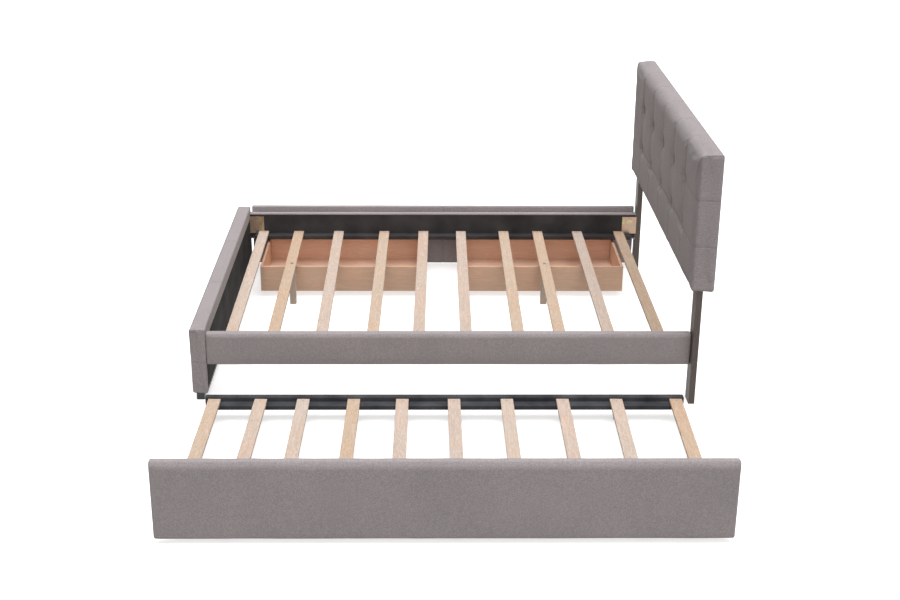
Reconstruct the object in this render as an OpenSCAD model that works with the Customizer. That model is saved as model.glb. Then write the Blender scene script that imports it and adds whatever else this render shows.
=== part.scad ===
// Upholstered bed frame with a rolling trundle and two rolling drawers, in millimetres.
// X runs along the bed, foot end at -X and head end at +X. The trundle rolls out towards -Y
// and the drawers towards +Y. +Z is up. The origin is on the floor, at the centre of the
// whole footprint with the trundle drawn out.

/* [Mattress well] */
// Clear length between the footboard and the posts
well_l = 2045; // [1950:5:2150]
// Clear width between the side rails
well_w = 1540; // [1500:5:1640]

/* [Footboard and rails] */
// Thickness of the footboard
fb_t = 67.5; // [50:0.5:80]
// Width of the footboard
fb_w = 1634; // [1620:1:1660]
// Height of the footboard's underside, which is also the height of its feet
fb_z = 33; // [25:1:45]
// Height of the footboard panel
fb_h = 302; // [290:1:340]
// Thickness of a side rail
rail_t = 34; // [30:1:40]
// Height of the side rails' underside
rail_z = 165; // [160:1:170]
// Height of a side rail
rail_h = 143; // [135:1:150]

/* [Headboard] */
// Thickness of the headboard
hb_t = 97.5; // [85:0.5:110]
// Width of the headboard
hb_w = 1734; // [1700:2:1800]
// Height of the headboard pad
hb_h = 592; // [540:1:640]
// Height of the headboard's underside
hb_z = 518; // [500:1:560]
// Thickness of a post
post_t = 26; // [20:1:28]
// Width of a post
post_w = 72; // [60:1:80]

/* [Slats] */
// Width of a slat
slat_w = 52; // [45:1:60]
// Thickness of a slat
slat_t = 14; // [12:1:18]
// Depth of the ledges that carry the slats
ledge_d = 46; // [35:1:50]
// Side of a support leg's square section
leg_w = 31; // [28:1:40]
// Distance of the support legs from the bed's centre line
leg_y = 278; // [240:1:300]

/* [Trundle] */
// How far the trundle is drawn out
trundle_pull = 1090; // [900:5:1200]
// How far the drawn-out trundle has strayed towards the foot
trundle_stray = 31; // [0:1:31]
// Length of the trundle's front panel
trundle_l = 2037; // [1980:1:2038]
// Distance from the front panel's inner face to the back rail's outer face
trundle_d = 963; // [900:1:1000]
// Diameter of a trundle wheel
trundle_wheel_d = 44; // [36:1:44]

/* [Drawers] */
// Length of a drawer's front panel
drawer_front_l = 1011; // [960:1:1012]
// Length of a drawer box
drawer_box_l = 818; // [600:2:900]
// Depth of a drawer box, from its back wall to the front panel
drawer_box_d = 444; // [350:2:460]
// Height of a drawer box
drawer_box_h = 132; // [100:1:135]
// Thickness of the drawer boards
board_t = 12; // [10:1:15]
// Diameter of a drawer wheel
drawer_wheel_d = 30; // [24:1:30]

/* [Hidden] */
$fn = 48;

// Upholstered panels: foam and fabric round the core, and the thin backing behind it
backing_t = 2;
panel_pad = 8;
rail_pad = 5;
panel_return = 20;
rail_return = 8;

// Front panels of the trundle and the drawers, which overlay the rails when closed
front_t = 34;
front_h = 307;
front_z = 20;
drawer_front_h = 319;
drawer_front_z = 14;
drawer_return = 8;
front_y = well_w / 2 + rail_t + 5;
front_gap = 2;

// The origin lies midway between the drawn-out trundle's front and the headboard's far edge
trundle_face = front_y + front_t + trundle_pull;
bed_y = (trundle_face - hb_w / 2) / 2;

// Footboard feet
foot_size = [35, 50];
foot_r = 6;
foot_y = fb_w / 2 - 18 - foot_size[1] / 2;

// Corner brackets: a plate on the rail's inner face and a flange at the rail's end
bracket_t = 3;
bracket_l = 72;
bracket_h = 92;
flange_w = 29;
bracket_screw_at = [[14, 80], [50, 80], [32, 58], [14, 36], [50, 36], [32, 14]];
rail_bolt_z = [24, 68];
rail_bolt_r = 4;
rail_bolt_y = well_w / 2 + 16;
rail_bolt_in = 26;
pocket_r = 9;
pocket_d = 9;
screw_r = 2;
screw_in = 14;
screw_head_r = 4.5;
screw_head_t = 2;

// Slats: each one's middle along the bed and its angle, because they are laid by hand
slat_place = [
    [-948, 0], [-763, 0], [-552, 0], [-321, -0.7], [-117, -0.9],
    [86, -0.5], [314, -0.3], [495, -0.2], [708, 0], [928, 0]
];
ledge_t = 21;
ledge_gap = 27;
ledge_z = rail_z + 12;
slat_z = ledge_z + ledge_t;
slat_end_gap = 5;
leg_x = [-757, 497];
leg_chamfer = 4;
leg_bolt_in = 60;
leg_bolt_head = [8, 3];

// Headboard: plywood panel behind the posts, battens behind it, and a back board
post_top = hb_z + 380;
post_y = well_w / 2 + 1;
hb_wrap = 22;
hb_panel_t = 15;
hb_batten_t = 22.5;
hb_behind = 41.5;
hb_batten_w = 60;
hb_batten_at = [-500, 0, 500];
hb_front_x = well_l / 2 + post_t + hb_behind - hb_t;
hb_bolt_z = [hb_z + 130, hb_z + 330];

// Trundle: everything is placed from the inner face of its front panel
trundle_x = -trundle_stray;
back_rail_x = trundle_x + 15;
back_rail_l = 1988;
back_rail_t = 28;
back_rail_z = 40;
back_rail_top = 93;
trundle_ledge_z = 56;
trundle_ledge_t = 17;
trundle_ledge_d = 44;
trundle_inner_y = -(front_y + trundle_pull);
back_rail_y = trundle_inner_y + trundle_d - back_rail_t;
trundle_slat_z = trundle_ledge_z + trundle_ledge_t;
trundle_slat_place = [
    [-976, -0.7], [-789, -1.3], [-609, -0.8], [-400, -0.8], [-198, -0.6],
    [20, -0.1], [240, 0], [469, -0.2], [687, -0.8], [931, -1.3]
];
slat_screw_inset = 20;
slat_screw_head = [3.5, 1.2];
slat_screw_in = 12;
trundle_castor_slats = [1, 5, 8];
trundle_castor_x = [for (i = trundle_castor_slats) trundle_slat_place[i][0] * 1.012];

// Castors: a plate, two cheeks and an axle; the wheels turn on the axle
castor_plate_t = 2.5;
cheek_t = 2;
wheel_side_gap = 1;
axle_play = 0.05;
trundle_wheel_w = 20;
trundle_axle_r = 3;
drawer_wheel_w = 12;
drawer_axle_r = 2;

// Drawers: the left one is at the foot end and the right one at the head end
drawer_x = (drawer_front_l + front_gap) / 2;
drawer_box_shift = -11.5;
drawer_z = 30;
drawer_bottom_t = 5;
drawer_bottom_z = drawer_z + 6;
groove_d = 6;
drawer_castor_x = 330;
drawer_castor_inset = [110, 45];
drawer_plate_d = 34;

fabric = "#8d8488";
nonwoven = "#3c3a3a";
edge_fabric = "#46464a";
plywood = "#c9a67c";
birch = "#e3cbb2";
beech = "#b99a80";
dark_wood = "#50463f";
zinc = "#b8a468";
steel = "#a9abae";
black_plastic = "#1c1c1d";
wheel_grey = "#39393b";

// Moves a sub-part from the bed's own centre to the origin
module from_bed() {
    translate([0, bed_y, 0]) children();
}

// Box between two corners
module block(lo, hi) {
    translate(lo) cube(hi - lo);
}

// Both ends of the bed, or both sides
module at_both_ends() {
    children();
    mirror([1, 0, 0]) children();
}

module at_both_sides() {
    children();
    mirror([0, 1, 0]) children();
}

// Upholstered panel of length l, height h and thickness t: its inner face is the plane
// y = 0 and its outer face looks along +y. Foam and fabric are pad thick, end_pad at the ends
module panel_core(l, h, t, pad, end_pad) {
    block([-l / 2 + end_pad, backing_t, pad], [l / 2 - end_pad, t - pad, h - pad]);
}

module panel_backing(l, h, ret) {
    block([-l / 2 + ret, 0, ret], [l / 2 - ret, backing_t, h - ret]);
}

module panel_cover(l, h, t, pad, end_pad, ret) {
    difference() {
        block([-l / 2, 0, 0], [l / 2, t, h]);
        block([-l / 2 + end_pad, backing_t, pad], [l / 2 - end_pad, t - pad, h - pad]);
        panel_backing(l, h, ret);
        if (end_pad == 0) {
            for (side = [-1, 1]) translate([side * l / 2, 0, 0]) {
                block([-ret - 1, backing_t, pad], [ret + 1, t - pad, h - pad]);
                block([-ret - 1, -1, ret], [ret + 1, backing_t, h - ret]);
            }
        }
    }
}

// Places of the upholstered panels
rail_l = well_l - 2 * bracket_t;

module at_footboard() {
    from_bed() translate([-well_l / 2, 0, fb_z]) rotate([0, 0, 90]) children();
}

module at_near_rail() {
    from_bed() translate([0, -well_w / 2, rail_z]) rotate([0, 0, 180]) children();
}

module at_far_rail() {
    from_bed() translate([0, well_w / 2, rail_z]) children();
}

module at_trundle_front() {
    from_bed() translate([trundle_x, trundle_inner_y, front_z]) rotate([0, 0, 180]) children();
}

module at_drawer_front(side) {
    from_bed() translate([side * drawer_x, front_y, drawer_front_z]) children();
}

// Shanks of the eight bolts that join the rails to the footboard and the posts
module rail_bolt_shanks() {
    at_both_ends() at_both_sides() for (z = rail_bolt_z)
        translate([well_l / 2 - bracket_t - pocket_d, rail_bolt_y, slat_z + z])
            rotate([0, 90, 0]) cylinder(r = rail_bolt_r, h = pocket_d + bracket_t + rail_bolt_in);
}

// Pockets in the rails' ends for the nuts and heads of those bolts
module rail_bolt_pockets() {
    at_both_ends() at_both_sides() for (z = rail_bolt_z)
        translate([well_l / 2 - bracket_t - pocket_d, rail_bolt_y, slat_z + z])
            rotate([0, 90, 0]) cylinder(r = pocket_r, h = pocket_d + 1);
}

module rail_bolt_heads() {
    at_both_ends() at_both_sides() for (z = rail_bolt_z)
        translate([well_l / 2 - bracket_t - pocket_d + 2, rail_bolt_y, slat_z + z])
            rotate([0, 90, 0]) cylinder(r = pocket_r - 1.5, h = pocket_d - 2);
}

// Shanks of the bracket screws, from the plate's face into the rail's core
module bracket_screw_shanks() {
    at_both_ends() at_both_sides() for (at = bracket_screw_at)
        translate([well_l / 2 - bracket_t - at[0], well_w / 2 - bracket_t, slat_z + at[1]])
            rotate([-90, 0, 0]) cylinder(r = screw_r, h = bracket_t + screw_in);
}

// Footboard
module footboard_core() {
    color(plywood) difference() {
        at_footboard() panel_core(fb_w, fb_h, fb_t, panel_pad, panel_pad);
        from_bed() rail_bolt_shanks();
    }
}

module footboard_cover() {
    color(fabric) at_footboard()
        panel_cover(fb_w, fb_h, fb_t, panel_pad, panel_pad, panel_return);
}

module footboard_backing() {
    color(nonwoven) difference() {
        at_footboard() panel_backing(fb_w, fb_h, panel_return);
        from_bed() rail_bolt_shanks();
    }
}

module foot_outline() {
    square([foot_size[0] - 2 * foot_r, foot_size[1]], center = true);
    square([foot_size[0], foot_size[1] - 2 * foot_r], center = true);
    for (x = [-1, 1], y = [-1, 1])
        translate([x * (foot_size[0] / 2 - foot_r), y * (foot_size[1] / 2 - foot_r)])
            circle(r = foot_r);
}

module footboard_feet() {
    color(black_plastic) from_bed() at_both_sides()
        translate([-well_l / 2 - foot_size[0], foot_y, 0]) linear_extrude(fb_z) foot_outline();
}

// Side rails
module rail_core() {
    panel_core(rail_l, rail_h, rail_t, rail_pad, 0);
}

module rail_holes() {
    from_bed() {
        rail_bolt_pockets();
        bracket_screw_shanks();
    }
}

module near_rail_core() {
    color(plywood) difference() {
        at_near_rail() rail_core();
        rail_holes();
    }
}

module near_rail_cover() {
    color(fabric) at_near_rail() panel_cover(rail_l, rail_h, rail_t, rail_pad, 0, rail_return);
}

module near_rail_backing() {
    color(nonwoven) difference() {
        at_near_rail() rail_backing();
        from_bed() bracket_screw_shanks();
    }
}

module rail_backing() {
    block([-rail_l / 2, 0, rail_return], [rail_l / 2, backing_t, rail_h - rail_return]);
}

module far_rail_core() {
    color(plywood) difference() {
        at_far_rail() rail_core();
        rail_holes();
    }
}

module far_rail_cover() {
    color(fabric) at_far_rail() panel_cover(rail_l, rail_h, rail_t, rail_pad, 0, rail_return);
}

module far_rail_backing() {
    color(nonwoven) difference() {
        at_far_rail() rail_backing();
        from_bed() bracket_screw_shanks();
    }
}

// Ledges along the rails, which carry the slats
module ledge() {
    block(
        [-rail_l / 2 + ledge_gap, well_w / 2 - ledge_d, ledge_z],
        [rail_l / 2 - ledge_gap, well_w / 2, slat_z]
    );
}

module near_ledge() {
    color(nonwoven) from_bed() mirror([0, 1, 0]) ledge();
}

module far_ledge() {
    color(nonwoven) from_bed() ledge();
}

// Steel corner brackets
module bracket() {
    block(
        [well_l / 2 - bracket_t - bracket_l, well_w / 2 - bracket_t, slat_z],
        [well_l / 2, well_w / 2, slat_z + bracket_h]
    );
    block(
        [well_l / 2 - bracket_t, well_w / 2 - bracket_t, slat_z],
        [well_l / 2, well_w / 2 + flange_w, slat_z + bracket_h]
    );
}

module corner_brackets() {
    color(zinc) from_bed() difference() {
        at_both_ends() at_both_sides() bracket();
        rail_bolt_shanks();
        bracket_screw_shanks();
    }
}

module bracket_screws() {
    color(steel) from_bed() {
        bracket_screw_shanks();
        at_both_ends() at_both_sides() for (at = bracket_screw_at)
            translate([
                well_l / 2 - bracket_t - at[0],
                well_w / 2 - bracket_t - screw_head_t,
                slat_z + at[1]
            ]) rotate([-90, 0, 0]) cylinder(r = screw_head_r, h = screw_head_t);
    }
}

module rail_bolts() {
    color(steel) from_bed() {
        rail_bolt_shanks();
        rail_bolt_heads();
    }
}

// Headboard and its posts
module post() {
    difference() {
        block([well_l / 2, post_y, 0], [well_l / 2 + post_t, post_y + post_w, post_top]);
        rail_bolt_shanks();
        headboard_bolt_shanks();
    }
}

module near_post() {
    color(dark_wood) from_bed() mirror([0, 1, 0]) post();
}

module far_post() {
    color(dark_wood) from_bed() post();
}

hb_panel_x = well_l / 2 + post_t;
hb_batten_x = hb_panel_x + hb_panel_t;
hb_back_x = hb_batten_x + hb_batten_t;
hb_in_y = hb_w / 2 - hb_wrap;
hb_bolt_in = 20;

module headboard_bolt_shanks() {
    at_both_sides() for (z = hb_bolt_z)
        translate([hb_panel_x - hb_bolt_in, post_y + post_w / 2, z])
            rotate([0, 90, 0]) cylinder(r = rail_bolt_r, h = hb_bolt_in + hb_panel_t);
}

module headboard_panel() {
    color(plywood) from_bed() difference() {
        block([hb_panel_x, -hb_in_y, hb_z + hb_wrap], [hb_batten_x, hb_in_y, hb_z + hb_h - hb_wrap]);
        headboard_bolt_shanks();
    }
}

module headboard_battens() {
    low = hb_z + hb_wrap;
    high = hb_z + hb_h - hb_wrap;
    color(plywood) from_bed() {
        block([hb_batten_x, -hb_in_y, low], [hb_back_x, hb_in_y, low + hb_batten_w]);
        block([hb_batten_x, -hb_in_y, high - hb_batten_w], [hb_back_x, hb_in_y, high]);
        for (y = hb_batten_at) translate([0, y, 0])
            block(
                [hb_batten_x, -hb_batten_w / 2, low + hb_batten_w],
                [hb_back_x, hb_batten_w / 2, high - hb_batten_w]
            );
    }
}

module headboard_pad() {
    color(fabric) from_bed() difference() {
        block([hb_front_x, -hb_w / 2, hb_z], [hb_front_x + hb_t, hb_w / 2, hb_z + hb_h]);
        block(
            [hb_panel_x, -hb_in_y, hb_z + hb_wrap],
            [hb_front_x + hb_t + 1, hb_in_y, hb_z + hb_h - hb_wrap]
        );
        at_both_sides() block(
            [well_l / 2, post_y, hb_z - 1],
            [hb_panel_x, post_y + post_w, post_top]
        );
    }
}

module headboard_back() {
    color(nonwoven) from_bed() block(
        [hb_back_x, -hb_in_y, hb_z + hb_wrap],
        [hb_front_x + hb_t, hb_in_y, hb_z + hb_h - hb_wrap]
    );
}

module headboard_bolts() {
    color(steel) from_bed() {
        headboard_bolt_shanks();
        at_both_sides() for (z = hb_bolt_z)
            translate([hb_batten_x, post_y + post_w / 2, z])
                rotate([0, 90, 0]) cylinder(r = 2 * rail_bolt_r, h = rail_bolt_r);
    }
}

// Bed slats, with the support legs bolted under two of them
module leg_bolt_shanks() {
    for (x = leg_x) translate([x, leg_y, slat_z - leg_bolt_in])
        cylinder(r = rail_bolt_r, h = leg_bolt_in + slat_t);
}

module bed_slats() {
    slat_l = well_w - 2 * slat_end_gap;
    color(birch) from_bed() difference() {
        for (place = slat_place) translate([place[0], 0, slat_z]) rotate([0, 0, place[1]])
            block([-slat_w / 2, -slat_l / 2, 0], [slat_w / 2, slat_l / 2, slat_t]);
        leg_bolt_shanks();
    }
}

module leg(x) {
    half = leg_w / 2;
    cut = half - leg_chamfer;
    from_bed() difference() {
        translate([x, leg_y, 0]) linear_extrude(slat_z) polygon([
            [-cut, -half], [cut, -half], [half, -cut], [half, cut],
            [cut, half], [-cut, half], [-half, cut], [-half, -cut]
        ]);
        leg_bolt_shanks();
    }
}

module left_leg() {
    color(birch) leg(leg_x[0]);
}

module right_leg() {
    color(birch) leg(leg_x[1]);
}

module leg_bolts() {
    color(steel) from_bed() {
        leg_bolt_shanks();
        for (x = leg_x) translate([x, leg_y, slat_z + slat_t])
            cylinder(r1 = leg_bolt_head[0], r2 = leg_bolt_head[0] - 2, h = leg_bolt_head[1]);
    }
}

// Castor with its axle along X: the plate's top is at z = top and the floor is at z = 0
module castor(wheel_d, wheel_w, axle_r, top, plate_d) {
    half = wheel_w / 2 + wheel_side_gap;
    cheek_r = axle_r + 4;
    translate([-half - cheek_t - 5, -plate_d / 2, top - castor_plate_t])
        cube([2 * (half + cheek_t + 5), plate_d, castor_plate_t]);
    for (side = [-1, 1]) translate([side * (half + cheek_t / 2), 0, 0]) {
        translate([-cheek_t / 2, -cheek_r, wheel_d / 2])
            cube([cheek_t, 2 * cheek_r, top - castor_plate_t - wheel_d / 2]);
        translate([-cheek_t / 2, 0, wheel_d / 2]) rotate([0, 90, 0])
            cylinder(r = cheek_r, h = cheek_t);
    }
    translate([-half - cheek_t - 1, 0, wheel_d / 2]) rotate([0, 90, 0])
        cylinder(r = axle_r, h = 2 * (half + cheek_t + 1));
}

// Wheel on the same axle: its rim is eased at both edges
module wheel(wheel_d, wheel_w, axle_r) {
    r = wheel_d / 2;
    translate([0, 0, r]) rotate([0, 90, 0]) rotate_extrude() polygon([
        [axle_r + axle_play, -wheel_w / 2], [r - 2, -wheel_w / 2], [r, -wheel_w / 2 + 2],
        [r, wheel_w / 2 - 2], [r - 2, wheel_w / 2], [axle_r + axle_play, wheel_w / 2]
    ]);
}

// Trundle
trundle_front_castor_y = trundle_inner_y + trundle_ledge_d / 2;
trundle_back_castor_y = back_rail_y - trundle_ledge_d / 2;

module trundle_front_core() {
    color(plywood) at_trundle_front()
        panel_core(trundle_l, front_h, front_t, panel_pad, panel_pad);
}

module trundle_front_cover() {
    color(fabric) at_trundle_front()
        panel_cover(trundle_l, front_h, front_t, panel_pad, panel_pad, panel_return);
}

module trundle_front_backing() {
    color(nonwoven) at_trundle_front() panel_backing(trundle_l, front_h, panel_return);
}

// The trundle slats' length, and the places of all ten
trundle_slat_l = back_rail_y - trundle_inner_y - 6;

module at_trundle_slats() {
    for (place = trundle_slat_place)
        translate([place[0], (trundle_inner_y + back_rail_y) / 2, trundle_slat_z])
            rotate([0, 0, place[1]]) children();
}

// Screws through the slats' ends into the ledges, with their heads sunk flush
module trundle_slat_screw_shapes() {
    at_trundle_slats() for (end = [-1, 1])
        translate([0, end * (trundle_slat_l / 2 - slat_screw_inset), 0]) {
            translate([0, 0, -slat_screw_in]) cylinder(r = screw_r, h = slat_screw_in + slat_t);
            translate([0, 0, slat_t - slat_screw_head[1]])
                cylinder(r = slat_screw_head[0], h = slat_screw_head[1]);
        }
}

module trundle_ledge(y) {
    difference() {
        translate([back_rail_x, y, trundle_ledge_z]) block(
            [-back_rail_l / 2 + 8, -trundle_ledge_d / 2, 0],
            [back_rail_l / 2 - 8, trundle_ledge_d / 2, trundle_ledge_t]
        );
        trundle_slat_screw_shapes();
    }
}

module trundle_front_ledge() {
    color(plywood) from_bed() trundle_ledge(trundle_front_castor_y);
}

module trundle_back_ledge() {
    color(edge_fabric) from_bed() trundle_ledge(trundle_back_castor_y);
}

module trundle_back_rail() {
    color(edge_fabric) from_bed() translate([back_rail_x, back_rail_y, 0]) block(
        [-back_rail_l / 2, 0, back_rail_z],
        [back_rail_l / 2, back_rail_t, back_rail_top]
    );
}

module trundle_slats() {
    color(birch) from_bed() difference() {
        at_trundle_slats() block(
            [-slat_w / 2, -trundle_slat_l / 2, 0],
            [slat_w / 2, trundle_slat_l / 2, slat_t]
        );
        trundle_slat_screw_shapes();
    }
}

module trundle_slat_screws() {
    color(steel) from_bed() trundle_slat_screw_shapes();
}

module trundle_castors() {
    rows = [trundle_front_castor_y, trundle_back_castor_y];
    plate_d = trundle_ledge_d - 4;
    color(steel) from_bed() for (x = trundle_castor_x, y = rows) translate([x, y, 0])
        castor(trundle_wheel_d, trundle_wheel_w, trundle_axle_r, trundle_ledge_z, plate_d);
}

module trundle_wheels(y) {
    color(wheel_grey) from_bed() for (x = trundle_castor_x)
        translate([x, y, 0]) wheel(trundle_wheel_d, trundle_wheel_w, trundle_axle_r);
}

module trundle_front_wheels() {
    trundle_wheels(trundle_front_castor_y);
}

module trundle_back_wheels() {
    trundle_wheels(trundle_back_castor_y);
}

// Drawers: side is -1 for the left drawer and 1 for the right one
drawer_back_y = front_y - drawer_box_d;
drawer_half = drawer_box_l / 2;
drawer_top = drawer_z + drawer_box_h;
drawer_castor_y = [drawer_back_y + drawer_castor_inset[0], front_y - drawer_castor_inset[1]];

module at_drawer(side) {
    from_bed() translate([side * drawer_x + drawer_box_shift, 0, 0]) children();
}

module drawer_front_core(side) {
    color(plywood) at_drawer_front(side)
        panel_core(drawer_front_l, drawer_front_h, front_t, panel_pad, panel_pad);
}

module drawer_front_cover(side) {
    color(fabric) at_drawer_front(side)
        panel_cover(drawer_front_l, drawer_front_h, front_t, panel_pad, panel_pad, drawer_return);
}

module drawer_front_backing(side) {
    color(nonwoven) at_drawer_front(side) panel_backing(drawer_front_l, drawer_front_h, drawer_return);
}

module drawer_bottom_board() {
    reach = board_t - groove_d;
    block(
        [-drawer_half + reach, drawer_back_y + reach, drawer_bottom_z],
        [drawer_half - reach, front_y - reach, drawer_bottom_z + drawer_bottom_t]
    );
}

// A side board: end is -1 for the one nearer the foot and 1 for the one nearer the head
module drawer_side(side, end) {
    inner = end * (drawer_half - board_t);
    outer = end * drawer_half;
    color(beech) at_drawer(side) difference() {
        block(
            [min(inner, outer), drawer_back_y, drawer_z],
            [max(inner, outer), front_y, drawer_top]
        );
        drawer_bottom_board();
    }
}

module drawer_wall(side, y) {
    color(beech) at_drawer(side) difference() {
        block(
            [-drawer_half + board_t, y, drawer_z],
            [drawer_half - board_t, y + board_t, drawer_top]
        );
        drawer_bottom_board();
    }
}

module drawer_bottom(side) {
    color(beech) at_drawer(side) drawer_bottom_board();
}

module drawer_castors(side) {
    color(steel) at_drawer(side) for (x = [-drawer_castor_x, drawer_castor_x], y = drawer_castor_y)
        translate([x, y, 0])
            castor(drawer_wheel_d, drawer_wheel_w, drawer_axle_r, drawer_bottom_z, drawer_plate_d);
}

module drawer_wheels(side, y) {
    color(wheel_grey) at_drawer(side) for (x = [-drawer_castor_x, drawer_castor_x])
        translate([x, y, 0]) wheel(drawer_wheel_d, drawer_wheel_w, drawer_axle_r);
}

footboard_core();
footboard_cover();
footboard_backing();
footboard_feet();
near_rail_core();
near_rail_cover();
near_rail_backing();
far_rail_core();
far_rail_cover();
far_rail_backing();
near_ledge();
far_ledge();
corner_brackets();
bracket_screws();
rail_bolts();
near_post();
far_post();
headboard_panel();
headboard_battens();
headboard_pad();
headboard_back();
headboard_bolts();
bed_slats();
left_leg();
right_leg();
leg_bolts();
trundle_front_core();
trundle_front_cover();
trundle_front_backing();
trundle_front_ledge();
trundle_back_ledge();
trundle_back_rail();
trundle_slats();
trundle_slat_screws();
trundle_castors();
trundle_front_wheels();
trundle_back_wheels();
drawer_front_core(-1);  // left_drawer_front_core
drawer_front_cover(-1);  // left_drawer_front_cover
drawer_front_backing(-1);  // left_drawer_front_backing
drawer_side(-1, -1);  // left_drawer_outer_side
drawer_side(-1, 1);  // left_drawer_inner_side
drawer_wall(-1, front_y - board_t);  // left_drawer_front_wall
drawer_wall(-1, drawer_back_y);  // left_drawer_back_wall
drawer_bottom(-1);  // left_drawer_bottom
drawer_castors(-1);  // left_drawer_castors
drawer_wheels(-1, drawer_castor_y[1]);  // left_drawer_front_wheels
drawer_wheels(-1, drawer_castor_y[0]);  // left_drawer_back_wheels
drawer_front_core(1);  // right_drawer_front_core
drawer_front_cover(1);  // right_drawer_front_cover
drawer_front_backing(1);  // right_drawer_front_backing
drawer_side(1, 1);  // right_drawer_outer_side
drawer_side(1, -1);  // right_drawer_inner_side
drawer_wall(1, front_y - board_t);  // right_drawer_front_wall
drawer_wall(1, drawer_back_y);  // right_drawer_back_wall
drawer_bottom(1);  // right_drawer_bottom
drawer_castors(1);  // right_drawer_castors
drawer_wheels(1, drawer_castor_y[1]);  // right_drawer_front_wheels
drawer_wheels(1, drawer_castor_y[0]);  // right_drawer_back_wheels
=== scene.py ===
"""Looks of the upholstered trundle bed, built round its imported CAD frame. Metres, +Z up."""

import math

import bmesh
import bpy
import numpy as np
from mathutils import Matrix, Vector


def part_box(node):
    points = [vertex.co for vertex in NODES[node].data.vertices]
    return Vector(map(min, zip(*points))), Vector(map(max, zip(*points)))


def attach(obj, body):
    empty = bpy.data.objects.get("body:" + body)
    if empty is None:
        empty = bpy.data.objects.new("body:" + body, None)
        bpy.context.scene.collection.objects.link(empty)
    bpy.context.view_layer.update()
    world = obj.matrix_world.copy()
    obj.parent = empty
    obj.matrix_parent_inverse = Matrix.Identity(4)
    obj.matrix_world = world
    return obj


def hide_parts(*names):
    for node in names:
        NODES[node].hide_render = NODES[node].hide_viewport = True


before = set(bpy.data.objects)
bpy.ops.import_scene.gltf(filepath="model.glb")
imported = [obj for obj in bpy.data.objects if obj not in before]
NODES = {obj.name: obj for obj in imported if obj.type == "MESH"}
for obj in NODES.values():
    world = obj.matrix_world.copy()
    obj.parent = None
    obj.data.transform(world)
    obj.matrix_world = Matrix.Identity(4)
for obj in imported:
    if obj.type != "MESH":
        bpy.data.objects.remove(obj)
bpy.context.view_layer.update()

MM = 0.001

# Camera: place, aim and lens
CAMERA_AT = (-0.1106, -5.5094, 2.6197)
CAMERA_DOWN = 0.3651
CAMERA_YAW = 0.0119
CAMERA_ROLL = 0.0050
CAMERA_LENS = 54.46
CAMERA_SENSOR = 36.0
CAMERA_SHIFT = (0.0139, -0.0387)

# Edges of the soft pieces
PANEL_ROUND = 9 * MM
RAIL_ROUND = 4 * MM
PANEL_TOP_ROUND = 14 * MM
ROLL_TALL = 2.2
UNDER_GAP = 1.2 * MM
RAIL_TOP_ROUND = 9 * MM
HEAD_ROUND = 7 * MM
HEAD_TOP_ROUND = 30 * MM
HEAD_BACK_ROUND = 12 * MM
FOOT_ROUND = 6 * MM
FOOT_TOP_ROUND = 12 * MM
FOOT_BACK_ROUND = 7 * MM

# Columns and rows of the pads; the headboard has a tuft at each inner crossing
HEAD_GRID = (6, 3)
FOOT_GRID = (3, 2)

# How deep tufts and pleats are drawn in, and how far the cloth may swell between them
HEAD_TUFT = 18 * MM
HEAD_PLEAT = 2.4 * MM
HEAD_SWELL = 6 * MM
FOOT_PLEAT = 1.4 * MM
FOOT_SWELL = 5 * MM
TUFT_REACH = 15 * MM
PLEAT_REACH = 12 * MM
CREASE_WIDTH = 2.6 * MM
SEAM_FROM = 0.3

# Cloth over the ends of a board, over its core and behind it, and folded down over a backing
RAIL_WRAP = 1.6 * MM
DRAWER_WRAP = 0.7 * MM
OVER_CORE = 5 * MM
BEHIND_CORE = 1.8 * MM
FOOT_LIP = 40 * MM
DRAWER_LIP = 22 * MM
LIP_CLOTH = 1.2 * MM

# Cloth simulation of the two big pads
VOXEL = 8 * MM
CLOTH_FRAMES = 20
CLOTH_PRESSURE = 4.0


# ---------------------------------------------------------------- materials

def srgb(r, g, b):
    """Linear colour of an sRGB colour given from 0 to 255."""
    def linear(c):
        c /= 255
        return c / 12.92 if c <= 0.04045 else ((c + 0.055) / 1.055) ** 2.4
    return (linear(r), linear(g), linear(b), 1.0)


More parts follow.
